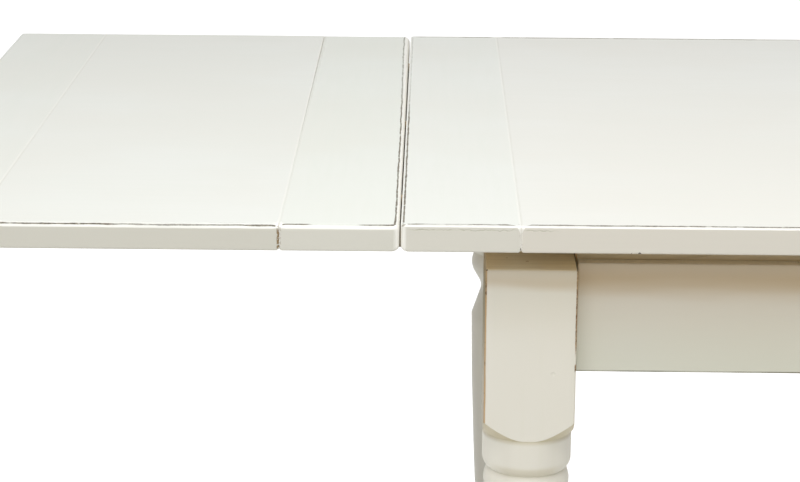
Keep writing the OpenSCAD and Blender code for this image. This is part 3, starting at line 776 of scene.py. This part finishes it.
def makeAprons():
    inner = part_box("leg_front_left")[1]
    up = Vector((0, 0, 1))
    outwards = {"apron_front": (0, -1, 0), "apron_back": (0, 1, 0),
                "apron_left": (-1, 0, 0), "apron_right": (1, 0, 0)}
    plain = Side(apron["ease"], apron["ease"], 0.0, 1.0)
    rubbed = Side(apron["ease"], apron["ease"], apron["wear"], 1.0)
    sides = [rubbed, plain, plain, plain]
    for node, way in outwards.items():
        low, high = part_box(node)
        out = Vector(way)
        right = up.cross(out)
        long = 2 * (abs(inner.dot(right)) - apron["gap"])
        back = min(abs(low.dot(out)), abs(high.dot(out)))
        place = Matrix((right, up, out)).transposed().to_4x4()
        place.translation = out * back - right * long / 2 + up * low.z
        size = (long, high.z - low.z, abs((high - low).dot(out)))
        mesh = wornBoard(node + "_worn", size, sides, [apron["corner"]] * 4, place)
        mesh.materials.append(apronPaint("paint_" + node, 0 if way[1] else 1))
        newPiece(node + "_worn", mesh, "table", [node])
    print("aprons made")


makeAprons()

leg = {
    "wide": 87 * mm, "ease": 2.0 * mm, "blockTall": 151 * mm, "shoulderTall": 20 * mm,
    "barrelIn": 0.3 * mm, "barrelLong": 37.5 * mm, "barrelTurn": 11 * mm, "notch": 5.5 * mm,
    "beadDrop": 13 * mm, "beadOut": 3.9 * mm, "neck": 29.5 * mm, "hollow": 18 * mm,
    "neckUp": 32 * mm, "neckDown": 37 * mm, "vase": 41 * mm, "taperBulge": 1.6 * mm,
    "ankle": 31 * mm, "ankleUp": 150 * mm, "ring": 34 * mm, "ringTall": 18 * mm,
    "waist": 24.5 * mm, "waistStep": 3 * mm, "foot": 31.5 * mm, "footUp": 84 * mm, "capRound": 20 * mm,
    "toe": 21 * mm, "toeEase": 1.5 * mm, "glide": 4 * mm, "toeSteps": 10,
    "flatSteps": 14, "cornerSteps": 4, "slopeSteps": 5, "easeSteps": 4,
    "topRings": (9.0, 5.0, 3.4, 2.6),        # in from the block's faces, in mm
    "blockRows": (0.01, 0.03, 0.07, 0.14, 0.24, 0.36, 0.48, 0.6, 0.72, 0.82, 0.9, 0.95, 0.985, 1.0),
    "noArris": 60 * mm,                      # stands for the way to an arris where there is none
    "sway": 0.22 * mm, "swayLong": 50 * mm,  # how far its surface strays, and over what length
    "arrisNick": 0.5 * mm, "arrisNickLong": 21.538 * mm, "arrisBand": 4 * mm,
    "cornerNick": 0.9 * mm, "cornerNickLong": 30 * mm,
    # the far tint is painted light: near-white paint on the back left leg, which stands in the shade of
    # the top
    "tint": (fromHex("e6e4d8"), 0.25), "farTint": (fromHex("fbfcf3"), 0.95),
    "stain": 0.15, "nearStain": 0.85,        # share of painted shade on the outward face
    "dirtFrom": -22, "dirtShare": 0.5,       # painted shade under the top's overhang: where it starts, in mm over the frame's top, and its share
}
nearLegBlemishes = [
    # (x, y, z), breadth in mm
    ((-0.7556, -0.432, 0.6148), 2.4), ((-0.776, -0.398, 0.717), 3.0),
]
nearLegMarks = [
    # (x, y, z), breadth in mm, colour, share
    ((-0.781, -0.402, 0.717), 4.0, "a3885a", 0.6), ((-0.8, -0.391, 0.717), 2.4, "8a7048", 0.6),
    ((-0.8197, -0.4312, 0.7165), 2.2, "2a2214", 0.95),
]
shoulderFoot = frameTop - leg["blockTall"] - leg["shoulderTall"]


def arcPoints(across, up, radius, first, last, steps):
    # points (radius from the axis, height) along an arc
    angles = [between(first, last, i / steps) for i in range(steps + 1)]
    return [(across + radius * math.cos(a), up + radius * math.sin(a)) for a in angles]


def bulge(half, rise):
    # radius of an arc from half its chord and its rise
    return (half * half + rise * rise) / (2 * rise)


def flankTilt(across, up, total):
    # tilt of the line that touches two arcs, from the steps between their middles
    return math.atan2(up, across) - math.acos(total / math.hypot(across, up))


def turnedProfile():
    # the turned part from under the block's sloped shoulder down to the foot
    hollow, vase, ankle, ankleUp = leg["hollow"], leg["vase"], leg["ankle"], leg["ankleUp"]
    waist, foot, footUp, capRound = leg["waist"], leg["foot"], leg["footUp"], leg["capRound"]
    barrel = leg["wide"] / 2 - leg["barrelIn"]
    notched = barrel - leg["notch"]
    notchUp = shoulderFoot - leg["barrelLong"]
    beadUp = notchUp - leg["beadDrop"]
    neckUp = beadUp - leg["neckUp"]
    vaseUp = neckUp - leg["neckDown"]
    barrelArc = bulge(leg["barrelTurn"], leg["notch"])
    barrelTurn = math.asin(leg["barrelTurn"] / barrelArc)
    beadArc = bulge(leg["beadDrop"], leg["beadOut"])
    beadIn = notched + leg["beadOut"] - beadArc
    beadTurn = math.asin(leg["beadDrop"] / beadArc)
    hollowOut = leg["neck"] + hollow
    upTilt = flankTilt(hollowOut - beadIn, leg["neckUp"], hollow + beadArc)
    downTilt = flankTilt(hollowOut - vase, leg["neckDown"], hollow)
    taperLong = math.hypot(vase - ankle, vaseUp - ankleUp)
    taperArc = bulge(taperLong / 2, leg["taperBulge"])
    taperTilt = math.atan((vase - ankle) / (vaseUp - ankleUp))
    taperTurn = math.asin(taperLong / 2 / taperArc)
    taperIn = taperArc - leg["taperBulge"]
    capTurn = math.acos((waist + leg["waistStep"] - foot + capRound) / capRound)
    capTop = footUp + capRound * math.sin(capTurn)
    ringHalf = leg["ringTall"] / 2
    ringLow = ankleUp - leg["ringTall"] - 3 * mm
    ringTurn = math.radians(70)
    waistHalf = (ringLow - capTop) / 2
    waistArc = bulge(waistHalf, leg["waistStep"])
    waistTurn = math.asin(waistHalf / waistArc)

    points = [(barrel, shoulderFoot - 8 * mm)]
    points += arcPoints(barrel - barrelArc, notchUp + leg["barrelTurn"], barrelArc, 0, -barrelTurn,
                        steps=10)
    points += arcPoints(beadIn, beadUp, beadArc, beadTurn, -upTilt, steps=14)
    points += arcPoints(hollowOut, neckUp, hollow, math.pi - upTilt, math.pi + downTilt, steps=16)
    points += arcPoints((vase + ankle) / 2 - taperIn * math.cos(taperTilt),
                        (vaseUp + ankleUp) / 2 + taperIn * math.sin(taperTilt),
                        taperArc, taperTurn - taperTilt, -taperTurn - taperTilt, steps=24)
    points.append((ankle - 2.5 * mm, ankleUp - 3 * mm))
    points += arcPoints(leg["ring"] - ringHalf, ringLow + ringHalf, ringHalf, ringTurn, -ringTurn,
                        steps=14)
    points += arcPoints(waist + waistArc, capTop + waistHalf, waistArc, math.pi - waistTurn,
                        math.pi + waistTurn, steps=10)
    points += arcPoints(foot - capRound, footUp, capRound, capTurn, 0, steps=8)
    toeUp = leg["glide"] + leg["toeEase"]
    for i in range(1, leg["toeSteps"] + 1):
        share = i / leg["toeSteps"]
        points.append((between(foot, leg["toe"], share), between(footUp, toeUp, share)))
    points.append((leg["toe"] - leg["toeEase"], leg["glide"]))
    return points


def blockColumns():
    # points round the square block: direction, distance from the axis, way to the nearest arris
    half, ease = leg["wide"] / 2, leg["ease"]
    columns = []
    for k in range(4):
        turn = Matrix.Rotation(math.pi / 2 * k, 2)
        for i in range(leg["flatSteps"] + 1):
            along = -(half - ease) + 2 * (half - ease) * i / leg["flatSteps"]
            columns.append((turn @ Vector((half, along)), half - abs(along)))
        for i in range(1, leg["cornerSteps"]):
            a = math.pi / 2 * i / leg["cornerSteps"]
            centre = Vector((half - ease, half - ease))
            columns.append((turn @ (centre + Vector((math.cos(a), math.sin(a))) * ease), 0.0))
    return columns


def legMesh(name, centre):
    profile = turnedProfile()
    half = leg["wide"] / 2
    barrel = half - leg["barrelIn"]
    slope = leg["shoulderTall"] / (half * math.sqrt(2) - barrel)
    blockStart = len(leg["topRings"]) + leg["easeSteps"] + 1
    blockEnd = blockStart + len(leg["blockRows"])
    blockTop = frameTop - leg["ease"]
    columns = blockColumns()
    verts, arris, edge = [], [], []
    for flat, away in columns:
        reach = flat.length
        aim = flat / reach
        meet = shoulderFoot + (reach - barrel) * slope       # where the sloped shoulder meets the face
        column = []      # (distance from the axis, height, way to the arris, way from the top)
        for inset in leg["topRings"]:
            column.append((reach * (half - inset * mm) / half, frameTop, half, -inset * mm))
        for i in range(leg["easeSteps"] + 1):
            a = math.pi / 2 * i / leg["easeSteps"]
            drop = leg["ease"] * (1 - math.cos(a))
            inset = leg["ease"] * (1 - math.sin(a))
            column.append((reach * (half - inset) / half, frameTop - drop, away, leg["ease"] * a))
        for share in leg["blockRows"]:
            column.append((reach, between(blockTop, meet, share), away, 0.1))
        for i in range(1, leg["slopeSteps"] + 1):
            share = i / leg["slopeSteps"]
            column.append((between(reach, barrel, share), between(meet, shoulderFoot, share),
                           leg["noArris"], 0.1))
        column += [(radius, height, leg["noArris"], 0.1) for radius, height in profile]
        for j, (radius, height, toArris, fromTop) in enumerate(column):
            spot = Vector((centre.x + aim.x * radius, centre.y + aim.y * radius, height))
            sway = leg["sway"] * wobble(spot, leg["swayLong"]) if j >= blockStart else 0.0
            if 0 < away < leg["arrisBand"] and j < blockEnd:
                sway -= leg["arrisNick"] * max(0, wobble(spot, leg["arrisNickLong"]))
            if away == 0 and j < blockEnd:
                sway -= leg["cornerNick"] * max(0, wobble(spot, leg["cornerNickLong"]) + 0.1)
            verts.append(spot + Vector((aim.x, aim.y, 0)) * sway)
            arris.append(toArris / mm)
            edge.append(fromTop / mm)
    faces = ringFaces(len(columns), len(verts) // len(columns))
    return closeMesh(name, verts, faces, {"arris": arris, "edge": edge}, sharpAngle=28.0)


def legPaint(name, centre, tint, stain, blemishes, marks):
    # outward shade: how much painted shade darkens the face away from the table's middle
    finish = Finish(name)
    look = framePaint
    half = leg["wide"] / 2
    colour, gloss, height = paintCoat(finish, look, grainScale(2, 7.0, 110.0), tint)
    arris, edge = finish.attributes("arris", "edge")
    across, along, up = finish.axes()
    outward = abs(across) - abs(centre.x)
    fast = finish.cloud(420.0, 2.0)
    wide = 0.5 + finish.cloud(40.0, 3.0).rise(0.35, 0.7) * 0.45
    rubbed = ((arris + (fast - 0.5) * 1.0) / wide).rise(1.4, 0.6)
    kept = (finish.cloud(17.0, 4.0, 0.6) + up.over(frameTop, -77, -17) * 0.15).rise(0.34, 0.44)
    inward = outward.over(0.0, 0, -10)
    # an arris beside an apron is rubbed at its top only, and once more where the apron ends
    byApronFoot = abs(up - (apronFoot + 12 * mm)).over(0.0, 4.5, 2)
    lower = up.over(apronFoot, 36, 21) * (1.0 - byApronFoot)
    rubbed = rubbed * kept * (1.0 - inward * lower)
    topLine = abs(edge - 1.5 + (fast - 0.5) * 1.5).rise(1.2, 0.3)
    topLine = topLine * finish.cloud(30.0, 3.0).rise(0.6, 0.68)
    block = arris.rise(58.0, 50.0)      # 1 on the block, 0 on the turned part
    rubbed = (rubbed * block).atLeast(topLine * 0.5)
    dark = inward.atLeast(up.over(frameTop, -29, -23) * up.over(frameTop, -5, -11))
    dark = dark.atLeast(finish.cloud(150.0, 2.0).rise(0.62, 0.68))
    tone = finish.blend(fast.rise(0.35, 0.65), look["wood"], look["primer"])
    tone = finish.blend(dark, look["tan"], tone)
    # painted shade on the block's outward face, stronger towards the top
    outwardShaded = outward.over(half, -1.3, -0.3) * block * stain
    outwardShaded = outwardShaded * (0.4 + up.over(frameTop, -142, -27) * 0.6)
    colour = finish.blend(outwardShaded, colour, look["stain"])
    # painted shade on the sloped shoulder, in a line under it, and where the barrel turns in
    reach = abs(across - centre.x).atLeast(abs(along - centre.y))
    onSlope = up.over(shoulderFoot, -0.8, 0.2) * up.over(shoulderFoot, 22, 20)
    grime = reach.over(half, -0.3, -0.9) * onSlope
    underArch = up.over(shoulderFoot, -5, -0.2) * up.over(shoulderFoot, 1.4, 0.2)
    barrelFoot = abs(up - (shoulderFoot - leg["barrelLong"] + 4.5 * mm)).over(0.0, 8, 2)
    grime = (grime * 0.68).atLeast(underArch * 0.45).atLeast(barrelFoot * 0.3)
    colour = finish.blend(grime, colour, look["grime"])
    # painted light: the turned part's flanks paler than its front
    flank = abs(across - centre.x).over(0.0, 18, 41) * up.over(shoulderFoot, -1.5, -6)
    colour = finish.blend(flank * 0.9, colour, look["flank"])
    halo = arris.rise(2.6, 0.8) * kept * (1.0 - inward) * 0.25
    colour = finish.blend(halo, colour, look["primer"])
    colour = finish.blend(rubbed, colour, tone)
    # painted shade under the top's overhang, and old thin paint in the slot
    colour, gloss = slotDirtAndShade(finish, colour, gloss, 0, leg["dirtFrom"], leg["dirtShare"])
    # painted shadow: a near-black strip along the inner edge of the leg's top, in the gap by the apron
    joint = (-outward).over(half, -2, -1) * up.over(frameTop, -1.5, -0.5)
    colour = finish.blend(joint * 0.9, colour, look["shade"])
    colour = marked(finish, colour, marks)
    relief = height - rubbed * 2.0
    for spot, breadth in blemishes:
        relief = relief - finish.near(spot).over(0.0, breadth, breadth * 0.3) * 3.0
    finish.set(Base_Color=colour, Roughness=(gloss + rubbed * 0.2 + outwardShaded * 0.55).upTo(1.0))
    finish.emboss(relief, 0.35, 0.0006)
    return finish.material


def makeLegs():
    for node in ("leg_front_left", "leg_front_right", "leg_back_left", "leg_back_right"):
        low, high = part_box(node)
        centre = (low + high) / 2
        mesh = legMesh(node + "_turned", centre)
        # painted light: the back left leg gets the paler far tint
        tint = leg["farTint"] if node == "leg_back_left" else leg["tint"]
        own = leg["stain"], [], []
        if node == "leg_front_left":
            own = leg["nearStain"], nearLegBlemishes, nearLegMarks
        mesh.materials.append(legPaint("paint_" + node, centre, tint, *own))
        newPiece(node + "_turned", mesh, "table", [node])
    print("legs made")


makeLegs()

woods = {
    "pine": palette(light="d9bd8f", dark="b08a58", late="94703f"),
    "agedPine": palette(light="ddd0b3", dark="cbbd9e", late="b5a683"),
    # painted shade: the joint strips' dark stain makes the gap between the boards above them look dark
    "stainedPineGapShade": palette(light="6b5a3f", dark="584a33", late="493c28"),
    "beech": palette(light="dcc29a", dark="cfae80", late="b8935f"),
}
hardware = palette(zinc="b9bbbd", zincDull="96989b", nylon="d9d5c8", nylonGrime="a59f90")
eased = {"wood": 0.8 * mm, "dowel": 0.4 * mm, "fastener": 0.2 * mm}


def woodFinish(name, along, wood):
    # planed wood, its grain along one axis (0, 1 or 2)
    finish = Finish(name)
    look = woods[wood]
    wander = finish.cloud(2.2, 2.0)
    drift = finish.add("ShaderNodeCombineXYZ", {}, wander * 3, wander * 3, wander * 3)[0]
    shifted = finish.add("ShaderNodeVectorMath", {"operation": "MULTIPLY_ADD"}, finish.point,
                         grainScale(along, 1.6, 34.0), drift)[0]
    rings = finish.cloud(1.0, 2.0, 0.4, shifted)
    bands = (rings * 9.0).sum("FRACT", rings * 9.0)
    late = bands.rise(0.55, 0.95)
    fibre = finish.cloud(1.0, 3.0, 0.6, finish.stretched(grainScale(along, 9.0, 420.0)))
    colour = finish.blend(finish.cloud(4.0, 2.0).rise(0.3, 0.7), look["light"], look["dark"])
    colour = finish.blend(late * 0.45, colour, look["late"])
    colour = finish.blend(fibre.rise(0.5, 0.75) * 0.3, colour, look["late"])
    finish.set(Base_Color=colour, Roughness=0.55 + (fibre - 0.5) * 0.25)
    finish.emboss(fibre * 0.8 + late * 0.4, 0.3, 0.0004)
    return finish.material


def zincFinish(name):
    finish = Finish(name)
    crystals = finish.add("ShaderNodeTexVoronoi", {"feature": "F1"}, Vector=finish.point,
                          Scale=520.0)["Distance"]
    cloudy = finish.cloud(160.0, 3.0)
    colour = finish.blend(cloudy.rise(0.3, 0.7), hardware["zinc"], hardware["zincDull"])
    finish.set(Base_Color=colour, Metallic=1.0, Roughness=0.3 + crystals * 0.25)
    finish.emboss(crystals, 0.15, 0.0002)
    return finish.material


def nylonFinish(name):
    finish = Finish(name)
    grime = finish.cloud(120.0, 3.0)
    colour = finish.blend(grime.rise(0.45, 0.8) * 0.5, hardware["nylon"], hardware["nylonGrime"])
    finish.set(Base_Color=colour, Roughness=0.45 + grime * 0.15)
    finish.emboss(finish.cloud(900.0, 2.0), 0.2, 0.0002)
    return finish.material


def easeEdges(piece, wide):
    weld = piece.modifiers.new("weld", "WELD")
    weld.merge_threshold = 0.02 * mm
    bevel = piece.modifiers.new("ease", "BEVEL")
    bevel.width = wide
    bevel.segments = 2
    bevel.limit_method = "ANGLE"
    bevel.angle_limit = math.radians(50)
    bevel.use_clamp_overlap = True


def dressNode(node, material, ease=0.0):
    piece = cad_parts[node]
    piece.data.materials.clear()
    piece.data.materials.append(material)
    if ease:
        easeEdges(piece, ease)


def dressInside():
    alongY = ("cross_rail", "centre_batten", "end_spacer", "stop_tie", "leaf_tie")
    timbers = [
        (("runner_front", "runner_back", "runner_guide"), woodFinish("pineAlongX", 0, "pine")),
        (alongY, woodFinish("pineAlongY", 1, "pine")),
        ("corner_block_", woodFinish("pineUpright", 2, "pine")),
        ("top_bearers", woodFinish("agedPine", 0, "agedPine")),
        # painted shade: the dark stain on the joint strips darkens the gap between the boards
        ("joint_strips", woodFinish("stainedPineGapShade", 1, "stainedPineGapShade")),
    ]
    dowel = woodFinish("beechDowel", 0, "beech")
    zinc, nylon = zincFinish("zincPlate"), nylonFinish("glideNylon")
    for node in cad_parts:
        if node.endswith(("screws", "bolts", "washers", "nuts", "screws_left", "screws_right")):
            dressNode(node, zinc, eased["fastener"])
        elif node.startswith("leaf_dowels"):
            dressNode(node, dowel, eased["dowel"])
        elif node == "foot_glides":
            dressNode(node, nylon)
        for starts, timber in timbers:
            if node.startswith(starts) and not node.endswith("screws"):
                dressNode(node, timber, eased["wood"])
    print("inside pieces dressed")


dressInside()
